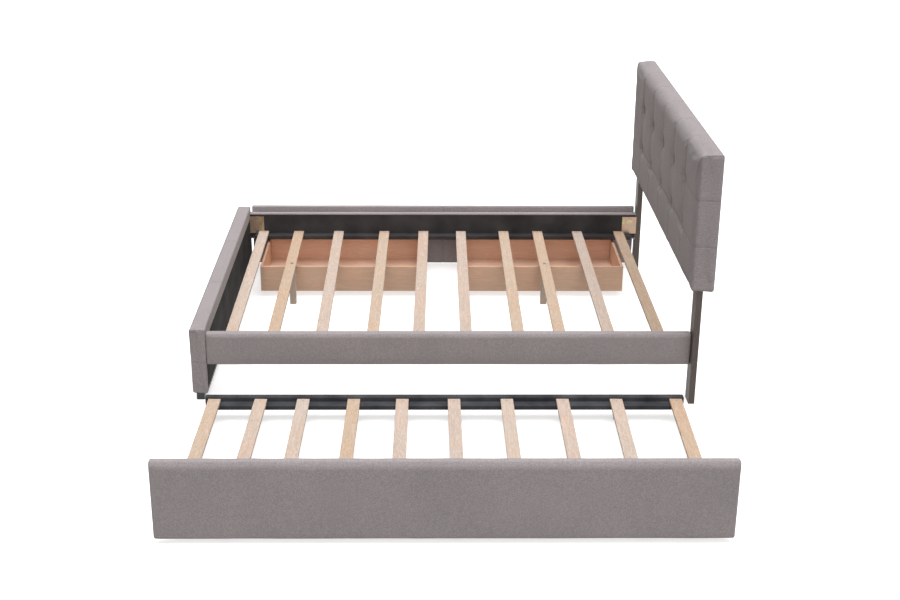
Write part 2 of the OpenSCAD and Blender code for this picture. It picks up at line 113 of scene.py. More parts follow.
class Shader:
    """A material's node tree, with short calls to make and join its nodes."""

    def __init__(self, name, **settings):
        self.material = bpy.data.materials.new(name)
        self.material.use_nodes = True
        self.tree = self.material.node_tree
        self.tree.nodes.clear()
        self.output = self.node("ShaderNodeOutputMaterial")
        self.surface = self.node("ShaderNodeBsdfPrincipled")
        self.join(self.surface, "BSDF", self.output, "Surface")
        for socket, value in settings.items():
            self.surface.inputs[socket.replace("_", " ")].default_value = value
        self.coords = self.node("ShaderNodeTexCoord")

    def node(self, kind, **settings):
        made = self.tree.nodes.new(kind)
        for key, value in settings.items():
            setattr(made, key, value)
        return made

    def join(self, a, out, b, into):
        self.tree.links.new(a.outputs[out], b.inputs[into])

    def scaled(self, scale, offset=(0, 0, 0)):
        """Object coordinates, in metres, times a scale along each axis."""
        mapping = self.node("ShaderNodeMapping")
        mapping.inputs["Scale"].default_value = scale
        mapping.inputs["Location"].default_value = offset
        self.join(self.coords, "Object", mapping, "Vector")
        return mapping

    def noise(self, scale, detail=2.0, roughness=0.5, distortion=0.0, offset=(0, 0, 0)):
        made = self.node("ShaderNodeTexNoise")
        made.inputs["Scale"].default_value = 1.0
        made.inputs["Detail"].default_value = detail
        made.inputs["Roughness"].default_value = roughness
        made.inputs["Distortion"].default_value = distortion
        self.join(self.scaled(scale, offset), "Vector", made, "Vector")
        return made

    def math(self, operation, a, b):
        """Two-input maths; a and b are each a (node, output) pair or a number."""
        made = self.node("ShaderNodeMath", operation=operation)
        for index, value in enumerate((a, b)):
            if isinstance(value, tuple):
                self.tree.links.new(value[0].outputs[value[1]], made.inputs[index])
            else:
                made.inputs[index].default_value = value
        return (made, "Value")

    def ramp(self, source, stops):
        """Colour ramp over source, a (node, output) pair; stops are (place, colour) pairs."""
        made = self.node("ShaderNodeValToRGB")
        self.tree.links.new(source[0].outputs[source[1]], made.inputs["Fac"])
        elements = made.color_ramp.elements
        while len(elements) < len(stops):
            elements.new(0.5)
        for element, (place, colour) in zip(elements, stops):
            element.position = place
            element.color = colour
        return (made, "Color")

    def mix(self, factor, a, b, blend="MIX"):
        """Colour mix; a and b are (node, output) pairs or colours, factor a pair or a number."""
        made = self.node("ShaderNodeMix", data_type="RGBA", blend_type=blend)
        for socket, value in ((0, factor), (6, a), (7, b)):
            if isinstance(value, tuple) and not isinstance(value[0], (int, float)):
                self.tree.links.new(value[0].outputs[value[1]], made.inputs[socket])
            else:
                made.inputs[socket].default_value = value
        return (made, 2)

    def colour(self, source):
        self.tree.links.new(source[0].outputs[source[1]], self.surface.inputs["Base Color"])

    def roughness(self, source, low, high):
        made = self.node("ShaderNodeMapRange")
        made.inputs["To Min"].default_value = low
        made.inputs["To Max"].default_value = high
        self.tree.links.new(source[0].outputs[source[1]], made.inputs["Value"])
        self.join(made, "Result", self.surface, "Roughness")

    def bump(self, source, distance, strength=1.0):
        made = self.node("ShaderNodeBump")
        made.inputs["Distance"].default_value = distance
        made.inputs["Strength"].default_value = strength
        self.tree.links.new(source[0].outputs[source[1]], made.inputs["Height"])
        self.join(made, "Normal", self.surface, "Normal")


def threads(shader, along, across):
    """Fine threads along each axis: noise drawn out along X, along Y and along Z."""
    warp = shader.noise((along, across, across), detail=1.0)
    weft = shader.noise((across, along, across), detail=1.0, offset=(3, 7, 1))
    rise = shader.noise((across, across, along), detail=1.0, offset=(5, 2, 9))
    pair = shader.math("ADD", (warp, "Fac"), (weft, "Fac"))
    total = shader.math("ADD", pair, (rise, "Fac"))
    return shader.math("MULTIPLY", total, 1 / 3)


def linen(name, dark, mid, light, shade, rough=0.92, sheen=0.12):
    """Linen-look upholstery: mixed threads, soft mottling and a fine weave in the bump, with painted shade
    multiplied in where the cloth is creased, seamed or tufted.
    """
    shader = Shader(name, Roughness=rough)
    shader.surface.inputs["Sheen Weight"].default_value = sheen
    shader.surface.inputs["Sheen Roughness"].default_value = 0.6
    shader.surface.inputs["Specular IOR Level"].default_value = 0.25
    weave = threads(shader, 240, 1500)
    heather = shader.ramp(weave, [(0.36, dark), (0.5, mid), (0.64, light)])
    fleck = shader.noise((250, 250, 250), detail=2.0, roughness=0.8)
    flecked = shader.ramp((fleck, "Fac"), [(0.38, (0.81, 0.805, 0.8, 1)), (0.62, (1.14, 1.14, 1.135, 1))])
    mixed = shader.mix(1.0, heather, flecked, "MULTIPLY")
    cloud = shader.noise((4, 4, 4), detail=3.0)
    clouded = shader.ramp((cloud, "Fac"), [(0.3, (0.95, 0.95, 0.955, 1)), (0.7, (1.04, 1.035, 1.03, 1))])
    even = shader.mix(1.0, mixed, clouded, "MULTIPLY")
    # Painted shade: the cloth is darkened towards the shade colour in its creases, seams and tufts, as far
    # as its painted crease shade attribute says
    painted_crease_shade = shader.node("ShaderNodeAttribute", attribute_name="painted_crease_shade")
    shader.colour(shader.mix((painted_crease_shade, "Fac"), even, shade, "MULTIPLY"))
    shader.bump(weave, 0.9 * MM, 0.55)
    return shader.material


def nonwoven(name, dark, light):
    """Matt spun cloth with a fine pressed dimple."""
    shader = Shader(name, Roughness=0.96)
    shader.surface.inputs["Specular IOR Level"].default_value = 0.2
    fibre = shader.noise((700, 700, 700), detail=4.0, roughness=0.8)
    patch = shader.noise((9, 9, 9), detail=2.0)
    both = shader.math("ADD", (fibre, "Fac"), (patch, "Fac"))
    half = shader.math("MULTIPLY", both, 0.5)
    shader.colour(shader.ramp(half, [(0.38, dark), (0.62, light)]))
    shader.bump((fibre, "Fac"), 0.5 * MM, 0.4)
    return shader.material


def grain(name, tones, along, ring=9.0, contrast=0.1, rough=(0.5, 0.68), fibre=0.6, own=False):
    """Bare wood. tones are its colours, as (place, colour) pairs: where own is true each piece has
    its own, from its "tone" attribute, and otherwise it drifts. along is the grain's axis."""
    shader = Shader(name)
    stretch = [34.0, 34.0, 34.0]
    stretch["XYZ".index(along)] = 2.6
    figure = shader.noise(tuple(stretch), detail=3.0, roughness=0.55, distortion=1.4)
    bands = shader.math("SINE", shader.math("MULTIPLY", (figure, "Fac"), 6.283 * ring), 0.0)
    fine = [900.0, 900.0, 900.0]
    fine["XYZ".index(along)] = 26.0
    pores = shader.noise(tuple(fine), detail=2.0, roughness=0.6)
    if own:
        tone = shader.node("ShaderNodeAttribute", attribute_name="tone")
    else:
        tone = shader.noise((1.5, 1.5, 1.5), detail=1.0)
    base = shader.ramp((tone, "Fac"), tones)
    ringed = shader.ramp(bands, [
        (0.0, (1 - contrast, 1 - contrast * 1.25, 1 - contrast * 1.5, 1)),
        (0.75, (1.02, 1.02, 1.02, 1)),
    ])
    shaded = shader.mix(1.0, base, ringed, "MULTIPLY")
    pored = shader.ramp((pores, "Fac"), [
        (0.3, (1 - 0.16 * fibre, 1 - 0.2 * fibre, 1 - 0.24 * fibre, 1)),
        (0.55, (1.0, 1.0, 1.0, 1)),
    ])
    streak = shader.mix(1.0, shaded, pored, "MULTIPLY")
    if own:
        curl = shader.noise((60, 22, 60), detail=2.0, offset=(8, 1, 4), distortion=2.2)
        curled = shader.ramp((curl, "Fac"), [(0.35, (0.95, 0.925, 0.9, 1)), (0.5, (1.03, 1.035, 1.04, 1))])
        streak = shader.mix(1.0, streak, curled, "MULTIPLY")
    patch = shader.noise((7, 7, 7), detail=2.0, offset=(2, 4, 6))
    warmed = shader.ramp((patch, "Fac"), [(0.3, (1.03, 0.98, 0.95, 1)), (0.7, (0.98, 1.0, 1.02, 1))])
    shader.colour(shader.mix(1.0, streak, warmed, "MULTIPLY"))
    shader.roughness((pores, "Fac"), *rough)
    shader.bump((pores, "Fac"), 0.25 * MM, 0.35)
    return shader.material


def plated(name, colours, rough=(0.25, 0.45)):
    """Plated steel whose tint drifts from place to place."""
    shader = Shader(name, Metallic=0.7)
    drift = shader.noise((38, 38, 38), detail=3.0, roughness=0.6, distortion=0.8)
    at = np.linspace(0.3, 0.7, len(colours))
    shader.colour(shader.ramp((drift, "Fac"), list(zip([float(p) for p in at], colours))))
    scuff = shader.noise((420, 420, 420), detail=2.0)
    shader.roughness((scuff, "Fac"), *rough)
    shader.bump((scuff, "Fac"), 0.15 * MM, 0.3)
    return shader.material


def moulded(name, dark, light, rough):
    """Moulded plastic with a faint texture."""
    shader = Shader(name)
    texture = shader.noise((520, 520, 520), detail=2.0)
    shader.colour(shader.ramp((texture, "Fac"), [(0.3, dark), (0.7, light)]))
    shader.roughness((texture, "Fac"), *rough)
    shader.bump((texture, "Fac"), 0.12 * MM, 0.4)
    return shader.material


UPHOLSTERY = linen(
    "upholstery", srgb(149, 141, 143), srgb(167, 159, 161), srgb(185, 177, 180),
    # The colour that painted shade in the creases and tufts darkens the cloth towards
    (0.42, 0.4, 0.4, 1.0),
)
BACKING = nonwoven("backing_cloth", srgb(52, 51, 52), srgb(74, 72, 73))
EDGE_CLOTH = nonwoven("edge_cloth", srgb(50, 51, 55), srgb(84, 85, 90))
BIRCH_TONES = [
    (0.0, srgb(214, 200, 187)), (0.35, srgb(214, 196, 183)),
    (0.65, srgb(212, 192, 172)), (1.0, srgb(209, 183, 158)),
]
BIRCH = grain("birch", BIRCH_TONES, "Y", own=True)
LEG_BIRCH = grain("leg_birch", BIRCH_TONES, "Z")
BEECH_TONES = [(0.3, srgb(232, 194, 166)), (0.7, srgb(224, 184, 156))]
BEECH = grain("beech_board", BEECH_TONES, "X", ring=5.0, contrast=0.05, rough=(0.42, 0.55), fibre=0.6)
# A lighter copy of the beech, painted light for the drawers' inner walls and bottoms that sit in shade
BEECH_PAINTED_LIGHTER = grain(
    "beech_painted_lighter_board", [(0.3, srgb(238, 203, 180)), (0.7, srgb(230, 193, 170))], "X",
    ring=5.0, contrast=0.05, rough=(0.42, 0.55), fibre=0.6,
)
BEECH_SIDE = grain(
    "beech_side_board", BEECH_TONES, "Y", ring=5.0, contrast=0.05, rough=(0.42, 0.55), fibre=0.6,
)
PLYWOOD = grain("plywood", [(0.0, srgb(214, 182, 142)), (1.0, srgb(190, 156, 118))], "X", contrast=0.1)
DARK_WOOD = grain(
    "dark_wood", [(0.0, srgb(98, 88, 82)), (1.0, srgb(72, 63, 58))], "Z",
    ring=7.0, contrast=0.16, rough=(0.4, 0.6),
)
BRACKET_STEEL = plated("bracket_steel", [
    srgb(200, 172, 130), srgb(192, 146, 132), srgb(172, 162, 132), srgb(206, 184, 130),
])
BRIGHT_STEEL = plated("bright_steel", [srgb(150, 152, 158), srgb(178, 180, 186)])
FOOT_PLASTIC = moulded("foot_plastic", srgb(22, 22, 23), srgb(34, 34, 35), (0.2, 0.32))
WHEEL_PLASTIC = moulded("wheel_plastic", srgb(46, 46, 48), srgb(64, 64, 67), (0.45, 0.6))


# ---------------------------------------------------------------- mesh helpers

def piece(name, verts, faces, body, material):
    """A new object from vertices and faces, riding on a body."""
    mesh = bpy.data.meshes.new(name)
    mesh.from_pydata([tuple(v) for v in verts], [], faces)
    mesh.validate()
    mesh.update()
    made = bpy.data.objects.new(name, mesh)
    bpy.context.scene.collection.objects.link(made)
    made.data.materials.append(material)
    mesh.polygons.foreach_set("use_smooth", [True] * len(mesh.polygons))
    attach(made, body)
    return made


def stops(low, high, radius, step, extra=()):
    """Places along one side of a box: close together where its edges round over."""
    turns = [radius * (1 - math.tan(math.radians(a))) for a in (45, 36, 27, 18, 9, 0)]
    count = max(1, round((high - low - 2 * radius) / step))
    inner = list(np.linspace(low + radius, high - radius, count + 1))
    found = [low + t for t in turns] + inner + [high - t for t in turns] + list(extra)
    kept = []
    for place in sorted(found):
        if not kept or place - kept[-1] > 0.4 * MM:
            kept.append(place)
    kept[-1] = high
    return np.array(kept)


def rounded_box(low, high, radius, step, extra=((), (), ())):
    """Vertices, outward normals and quads of a box with round edges."""
    low, high = np.array(low, float), np.array(high, float)
    grid = [stops(low[a], high[a], radius, step[a], extra[a]) for a in range(3)]
    index, corners, faces = {}, [], []

    def vertex(key):
        if key not in index:
            index[key] = len(corners)
            corners.append([grid[a][key[a]] for a in range(3)])
        return index[key]

    for axis in range(3):
        u, v = (axis + 1) % 3, (axis + 2) % 3
        for end in (0, len(grid[axis]) - 1):
            for i in range(len(grid[u]) - 1):
                for j in range(len(grid[v]) - 1):
                    ring = []
                    for di, dj in ((0, 0), (1, 0), (1, 1), (0, 1)):
                        key = [0, 0, 0]
                        key[axis], key[u], key[v] = end, i + di, j + dj
                        ring.append(vertex(tuple(key)))
                    faces.append(ring if end else ring[::-1])
    flat = np.array(corners)
    inner = np.clip(flat, low + radius, high - radius)
    away = flat - inner
    normals = away / np.linalg.norm(away, axis=1)[:, None]
    return inner + normals * radius, normals, faces


def smooth_step(x, low, high):
    t = np.clip((x - low) / (high - low), 0, 1)
    return t * t * (3 - 2 * t)


def ripple(points, size, seed):
    """Soft uneven swelling from -1 to 1: a few sine waves that run different ways."""
    rng = np.random.default_rng(seed)
    total = np.zeros(len(points))
    for _ in range(7):
        way = rng.normal(size=3)
        way /= np.linalg.norm(way)
        length = size * rng.uniform(0.6, 1.7)
        total += np.sin(points @ way * (2 * math.pi / length) + rng.uniform(0, 6.28))
    return total / 4.0


def cut(target, boxes):
    """Takes boxes, each a (low, high) pair, out of a closed piece."""
    verts, faces = [], []
    for low, high in boxes:
        start = len(verts)
        for x in (low[0], high[0]):
            for y in (low[1], high[1]):
                for z in (low[2], high[2]):
                    verts.append((x, y, z))
        for quad in ((0, 1, 3, 2), (4, 6, 7, 5), (0, 4, 5, 1), (2, 3, 7, 6), (0, 2, 6, 4), (1, 5, 7, 3)):
            faces.append([start + k for k in quad])
    mesh = bpy.data.meshes.new("cutter")
    mesh.from_pydata(verts, [], faces)
    cutter = bpy.data.objects.new("cutter", mesh)
    bpy.context.scene.collection.objects.link(cutter)
    modifier = target.modifiers.new("cut", "BOOLEAN")
    modifier.operation = "DIFFERENCE"
    modifier.solver = "EXACT"
    modifier.use_self = len(boxes) > 1
    modifier.object = cutter
    graph = bpy.context.evaluated_depsgraph_get()
    made = bpy.data.meshes.new_from_object(target.evaluated_get(graph))
    target.modifiers.clear()
    target.data = made
    bpy.data.objects.remove(cutter)


def grown(box, low=(0, 0, 0), high=(0, 0, 0)):
    """A node's box with its lowest and highest corners moved outwards by so many metres."""
    return (box[0] - Vector(low), box[1] + Vector(high))


# ---------------------------------------------------------------- upholstery

def soft_panel(name, node, side, body, radius, top_radius, seed, crown=3 * MM, wrapped=0.0, lip=0.0):
    """An upholstered panel: a crowned face, soft edges, and a hollow for its board and backing.
    side is the way it faces along Y, -1 or 1. wrapped is the cloth's thickness over the ends of a
    board that runs the cover's full length. lip is the height of cloth folded down over the top
    of the backing."""
    cover, core, backing = f"{node}_cover", f"{node}_core", f"{node}_backing"
    rim = (wrapped, 0.5 * MM * (side > 0), -UNDER_GAP), (wrapped, 0.5 * MM * (side < 0), 0)
    low, high = grown(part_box(cover), *rim)
    step = (18 * MM, 8 * MM, 18 * MM)
    rolled = [high.z - top_radius * ROLL_TALL * k / 9 for k in range(11)]
    outer = high.y if side > 0 else low.y
    depth = [outer - side * top_radius * k / 7 for k in range(9)]
    verts, normals, faces = rounded_box(low, high, radius, step, ((), depth, rolled))
    size = np.array(high - low)
    place = (verts - np.array(low)) / size
    bulge = np.clip(4 * place[:, 2] * (1 - place[:, 2]), 0, 1) ** 0.5
    ends = smooth_step(np.minimum(place[:, 0], 1 - place[:, 0]) * size[0], 0, 60 * MM)
    outward = np.clip(normals[:, 1] * side, 0, 1)
    push = crown * bulge * ends * outward
    edge = 1 - np.abs(normals[:, 1])
    wave = ripple(verts, 0.34, seed) * 0.7 * MM + ripple(verts, 0.09, seed + 1) * 0.25 * MM
    inside = normals[:, 1] * side < -0.6
    push = push + np.where(inside, 0, wave * np.maximum(outward, 0.7 * edge))
    verts = verts + normals * push[:, None]
    turned = verts[:, (1, 0, 2)]
    round_edge(turned, outer, high.z, side, 1, top_radius, ROLL_TALL)
    verts = turned[:, (1, 0, 2)]
    made = piece(name, verts, faces, body, UPHOLSTERY)
    through = (0, 1 * MM, 0)
    recess = grown(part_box(backing), through, through)
    recess[1].z -= lip
    cut(made, [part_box(core), recess])
    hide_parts(cover)


def remesh(target, voxel):
    """Even quads of one voxel's size over a closed piece."""
    modifier = target.modifiers.new("remesh", "REMESH")
    modifier.mode = "VOXEL"
    modifier.voxel_size = voxel
    bake(target)


def bake(target):
    """Applies a piece's modifiers to its mesh."""
    graph = bpy.context.evaluated_depsgraph_get()
    made = bpy.data.meshes.new_from_object(target.evaluated_get(graph))
    target.modifiers.clear()
    target.data = made
    made.polygons.foreach_set("use_smooth", [True] * len(made.polygons))


def places(mesh):
    found = np.empty(len(mesh.vertices) * 3)
    mesh.vertices.foreach_get("co", found)
    return found.reshape(-1, 3)


def put(mesh, verts):
    mesh.vertices.foreach_set("co", np.asarray(verts).ravel())
    mesh.update()


def directions(mesh):
    """Outward normal of each vertex."""
    found = np.empty(len(mesh.vertices) * 3)
    mesh.vertex_normals.foreach_get("vector", found)
    return found.reshape(-1, 3)


def blow_up(target, hold, cap):
    """Cloth simulation: air pressure swells a closed piece, apart from where hold, from 0 to 1,
    pins it. No point moves more than cap."""
    start = places(target.data)
    group = target.vertex_groups.new(name="hold")
    levels = np.round(np.clip(hold, 0, 1) * 10).astype(int)
    for level in range(1, 11):
        chosen = np.nonzero(levels == level)[0].tolist()
        if chosen:
            group.add(chosen, level / 10, "REPLACE")
    cloth = target.modifiers.new("cloth", "CLOTH")
    settings = cloth.settings
    settings.quality = 4
    settings.mass = 0.3
    settings.tension_stiffness = 12
    settings.compression_stiffness = 12
    settings.shear_stiffness = 6
    settings.bending_stiffness = 0.4
    settings.use_pressure = True
    settings.uniform_pressure_force = CLOTH_PRESSURE
    settings.effector_weights.gravity = 0
    settings.vertex_group_mass = "hold"
    cloth.collision_settings.use_collision = False
    cloth.collision_settings.use_self_collision = False
    cloth.point_cache.frame_start = 1
    cloth.point_cache.frame_end = CLOTH_FRAMES
    scene = bpy.context.scene
    for step in range(1, CLOTH_FRAMES + 1):
        scene.frame_set(step)
    graph = bpy.context.evaluated_depsgraph_get()
    moved = places(target.evaluated_get(graph).data) - start
    target.modifiers.clear()
    target.vertex_groups.clear()
    length = np.linalg.norm(moved, axis=1)
    scale = cap * np.tanh(length / cap) / np.maximum(length, 1e-9)
    put(target.data, start + moved * scale[:, None])
    scene.frame_set(1)


def round_edge(verts, x_at, z_at, out_x, out_z, radius, tall=1.0):
    """Rounds an edge along Y more: x_at and z_at are its planes, out_x and out_z point outwards.
    tall is how many times further the round goes along Z than along X."""
    a = (verts[:, 0] - x_at) * out_x + radius
    b = (verts[:, 2] - z_at) * out_z + radius * tall
    near = (a > 0) & (b > 0)
    u, v = np.clip(a / radius, 0, 1), np.clip(b / radius / tall, 0, 1)
    beyond = np.clip(a - radius, 0, None) * (1 - v * v)
    verts[near, 0] = x_at - out_x * (radius * (1 - u * np.sqrt(1 - v * v / 2)) - beyond)[near]
    verts[near, 2] = z_at - out_z * (radius * tall * (1 - v * np.sqrt(1 - u * u / 2)))[near]


def valley(gap, width):
    return np.exp(-(gap / width) ** 2)


def nearest(values, lines):
    return np.min([np.abs(values - line) for line in lines], axis=0)


def refine(target, lines_y, lines_z, front_x, tufts):
    """Finer mesh round the tufts and along the pleats."""
    mesh = bmesh.new()
    mesh.from_mesh(target.data)

    def wanted(edge):
        p = (edge.verts[0].co + edge.verts[1].co) / 2
        dy = min(abs(p.y - line) for line in lines_y)
        dz = min(abs(p.z - line) for line in lines_z)
        if tufts and p.x < front_x and dy < 22 * MM and dz < 34 * MM:
            return True
        outside = p.z > lines_z[-1] or p.z < lines_z[0]
        beside = p.y > lines_y[-1] or p.y < lines_y[0]
        return (dy < 8 * MM and outside) or (dz < 8 * MM and beside)

    chosen = [edge for edge in mesh.edges if wanted(edge)]
    bmesh.ops.subdivide_edges(mesh, edges=chosen, cuts=1, use_grid_fill=True)
    mesh.to_mesh(target.data)
    mesh.free()
    target.data.polygons.foreach_set("use_smooth", [True] * len(target.data.polygons))


def keep_outside(verts, low, high):
    """Moves points that are inside a box out through its nearest face."""
    inside = np.all((verts > np.array(low)) & (verts < np.array(high)), axis=1)
    below, above = verts - np.array(low), np.array(high) - verts
    depth = np.concatenate([below, above], axis=1)
    way = depth.argmin(axis=1)
    for k in range(6):
        chosen = inside & (way == k)
        verts[chosen, k % 3] = (low if k < 3 else high)[k % 3]


def flatten_inside(verts, plane, into, low, high):
    """Sinks a flat face, whose plane is at X, inside a rectangle in Y and Z, for the cloth or
    board that covers it there. Vertices beside the rectangle's edge move onto that edge."""
    y, z = verts[:, 1], verts[:, 2]
    on_face = np.abs(verts[:, 0] - plane) < 2.5 * MM
    for axis in (1, 2):
        other = 3 - axis
        within = (verts[:, other] > low[other] - 3 * MM) & (verts[:, other] < high[other] + 3 * MM)
        for edge in (low[axis], high[axis]):
            close = on_face & within & (np.abs(verts[:, axis] - edge) < VOXEL / 4)
            verts[close, axis] = edge
    inside = on_face & (y > low[1] + 1e-5) & (y < high[1] - 1e-5)
    inside &= (z > low[2] + 1e-5) & (z < high[2] - 1e-5)
    verts[inside, 0] += into * 5 * MM


def facing(normals, low, high):
    """How far each point faces the front, the top, the underside and the ends, from 0 to 1."""
    ways = (-normals[:, 0], normals[:, 2], -normals[:, 2], np.abs(normals[:, 1]))
    return [smooth_step(way, low, high) for way in ways]


def past(values, lines):
    """How far each value lies outside the outermost two of the lines."""
    return np.maximum(lines[0] - values, values - lines[-1])


def draw_in(made, verts, lines_y, lines_z, low, high, seam_x, depth, pleat):
    """Draws the tufts and pleats in before the simulation. Gives how firmly each point is held.
    low and high are the shape's own box, and the end seams are held from seam_x on."""
    put(made.data, verts)
    normals = directions(made.data)
    x, y, z = verts.T
    front, top, under, end = facing(normals, 0.3, 0.9)
    around = np.clip(front + top + under + end, 0, 1)
    back = smooth_step(x, high[0] - 14 * MM, high[0] - 4 * MM)
    gap_y, gap_z = nearest(y, lines_y), nearest(z, lines_z)
    # Pleats are deepest over the top and fainter below and between the tufts
    outside = past(z, lines_z) > -4 * MM
    over = np.where(z > lines_z[-1], 1.0, np.where(outside, 0.4, 0.12))
    along_y = over * np.clip(front + top + under, 0, 1)
    along_z = np.where(past(y, lines_y) > -4 * MM, 0.4, 0.06) * np.clip(front + end, 0, 1)
    tuft = np.zeros(len(verts))
    for line_y in lines_y if depth else []:
        for line_z in lines_z:
            far = np.hypot(y - line_y, (z - line_z) * 0.62)
            tuft = np.maximum(tuft, front * np.exp(-(far / TUFT_REACH) ** 1.5))
    drawn = depth * tuft
    drawn = np.maximum(drawn, pleat * valley(gap_y, PLEAT_REACH) * along_y)
    drawn = np.maximum(drawn, pleat * valley(gap_z, PLEAT_REACH) * along_z)
    put(made.data, verts - normals * (drawn * (1 - back) * around)[:, None])
    hold = np.maximum(back, np.where(tuft > 0.55, 1.0, 0.0))
    to_end = np.minimum(y - low[1], high[1] - y)
    sewn = valley(z - high[2], 9 * MM) * valley(to_end, 9 * MM)
    hold = np.maximum(hold, np.where(x > seam_x, sewn, 0))
    hold = np.maximum(hold, 0.3 * valley(gap_y, 6 * MM) * along_y)
    return np.maximum(hold, 0.3 * valley(gap_z, 6 * MM) * along_z)


def crease(made, lines_y, lines_z, low, high, depth, pleat, seed):
    """Cuts fine creases into the swollen cloth. Gives its new points, and how much painted shade each gets
    in its creases, seams and tufts.
    """
    verts, normals = places(made.data), directions(made.data)
    x, y, z = verts.T
    front, top, under, end = facing(normals, 0.2, 0.8)
    loose = 1 - smooth_step(x, high.x - 6 * MM, high.x - 2 * MM)
    outer_y = smooth_step(past(y, lines_y), -10 * MM, 0)
    outer_z = smooth_step(past(z, lines_z), -10 * MM, 0)
    sway = 1.5 * MM * np.sin(z * 31 + seed) + 1.5 * MM * np.sin(x * 47)
    gap_y, gap_z = nearest(y + sway, lines_y), nearest(z + sway, lines_z)
    line = valley(gap_y, CREASE_WIDTH) * (0.1 + 0.9 * outer_z) * np.clip(front + top + under, 0, 1)
    line = np.maximum(line, 0.7 * valley(gap_z, CREASE_WIDTH) * outer_y * np.clip(front + end, 0, 1))
    push = -0.6 * pleat * line
    # Painted shade along the pleat creases
    painted_crease_shade = (0.3 if depth else 0.55) * line
    for i, line_y in enumerate(lines_y if depth else []):
        for j, line_z in enumerate(lines_z):
            dy, dz = y - line_y, z - line_z
            # A short upright crease through the tuft, and pull lines that fan out of it
            lean = 0.1 * math.sin(5.1 * i + 2.3 * j + seed)
            slit = valley(dy + dz * lean, 7 * MM) * valley(dz, 16 * MM)
            dark = np.exp(-((dy / (12 * MM)) ** 2 + (dz / (15 * MM)) ** 2))
            far = np.hypot(dy, dz)
            fan = np.maximum(np.cos(6 * np.arctan2(dz, dy) + 1.7 * i + 2.9 * j), 0) ** 2
            fan *= np.exp(-far / (42 * MM)) * smooth_step(far, 6 * MM, 22 * MM)
            push -= (0.6 * depth * slit + 0.14 * depth * fan) * front
            # Painted shade over each tuft and along its pull lines
            painted_crease_shade = np.maximum(painted_crease_shade, (0.95 * dark + 0.35 * fan) * front)
    push += (ripple(verts, 0.3, seed) * 0.7 * MM + ripple(verts, 0.07, seed + 1) * 0.3 * MM) * loose
    # The sewn seam along the top of each end face, with a pucker at its front corner
    sewn = valley(z - (high.z - 9 * MM), CREASE_WIDTH) * end * loose
    to_end = np.minimum(y - low.y, high.y - y)
    pucker = valley(to_end, 13 * MM) * valley(x - low.x - 24 * MM, 9 * MM)
    pucker *= valley(z - high.z, 22 * MM)
    push -= 2.2 * MM * sewn + 2.0 * MM * pucker * np.sin(x * 700)
    # Painted shade along the seam and in the pucker
    painted_crease_shade = np.maximum(painted_crease_shade, np.maximum(0.4 * sewn, 0.35 * pucker))
    return verts + normals * (push * loose)[:, None], painted_crease_shade


def tufted(name, cover, board, grid, radii, depth, pleat, cap, seed, core=None, lip=0.0):
    """A pad of the bed that faces -X, swollen by simulation between its tufts and pleats.
    cover is the node it takes over, board the one let into its back, and core one inside that it
    covers all over. grid is how many columns and rows it has, and radii are those of its edges in
    general, its top front edge and its top back edge. depth is how deep a tuft is drawn in, pleat
    how deep a pleat is, and lip the height of cloth folded down over the top of the board."""
    radius, top_radius, back_radius = radii
    low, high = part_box(cover)
    lines_y, lines_z = [
        [low[axis] + (high[axis] - low[axis]) * k / count for k in range(1, count)]
        for axis, count in zip((1, 2), grid)
    ]
    shrink = 0.35 * cap
    inner_low = (low.x + shrink, low.y + shrink * 0.6, low.z + shrink * 0.4)
    inner_high = (high.x, high.y - shrink * 0.6, high.z - shrink * 0.6)
    verts, _, faces = rounded_box(inner_low, inner_high, radius, (30 * MM, 40 * MM, 30 * MM))
    made = piece(name, verts, faces, "bed", UPHOLSTERY)
    remesh(made, VOXEL)
    verts = places(made.data)
    to_end = np.minimum(verts[:, 1] - low.y, high.y - verts[:, 1])
    squarer = top_radius * (0.45 + 0.55 * smooth_step(to_end, 10 * MM, 110 * MM))
    round_edge(verts, inner_low[0], inner_high[2], -1, 1, squarer)
    round_edge(verts, inner_high[0], inner_high[2], 1, 1, back_radius)
    seam_x = low.x + SEAM_FROM * (high.x - low.x)
    hold = draw_in(made, verts, lines_y, lines_z, inner_low, inner_high, seam_x, depth, pleat)
    blow_up(made, hold, cap)
    modifier = made.modifiers.new("smoother", "SUBSURF")
    modifier.levels = 1
    bake(made)
    refine(made, lines_y, lines_z, low.x + 40 * MM, bool(depth))
    verts, painted_crease_shade = crease(made, lines_y, lines_z, low, high, depth, pleat, seed)
    if core:
        keep_outside(verts, *grown(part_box(core), (OVER_CORE,) * 3, (BEHIND_CORE, OVER_CORE, OVER_CORE)))
    board_low, board_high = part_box(board)
    board_high.z -= lip
    if lip:
        folded = (np.abs(verts[:, 0] - high.x) < 2.5 * MM) & (verts[:, 2] > board_high.z - VOXEL / 4)
        verts[folded, 0] += LIP_CLOTH
    flatten_inside(verts, high.x, -1, board_low, board_high)
    put(made.data, verts)
    # The painted shade of the creases, seams and tufts, stored for the upholstery material
    layer = made.data.attributes.new("painted_crease_shade", "FLOAT", "POINT")
    layer.data.foreach_set("value", np.clip(painted_crease_shade, 0, 1).astype(np.float32))
    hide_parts(cover)


tufted(
    "headboard_upholstery", "headboard_pad", "headboard_back", HEAD_GRID,
    (HEAD_ROUND, HEAD_TOP_ROUND, HEAD_BACK_ROUND), HEAD_TUFT, HEAD_PLEAT, HEAD_SWELL, 3,
)
tufted(
    "footboard_upholstery", "footboard_cover", "footboard_backing", FOOT_GRID,
    (FOOT_ROUND, FOOT_TOP_ROUND, FOOT_BACK_ROUND), 0.0, FOOT_PLEAT, FOOT_SWELL, 8,
    core="footboard_core", lip=FOOT_LIP,
)

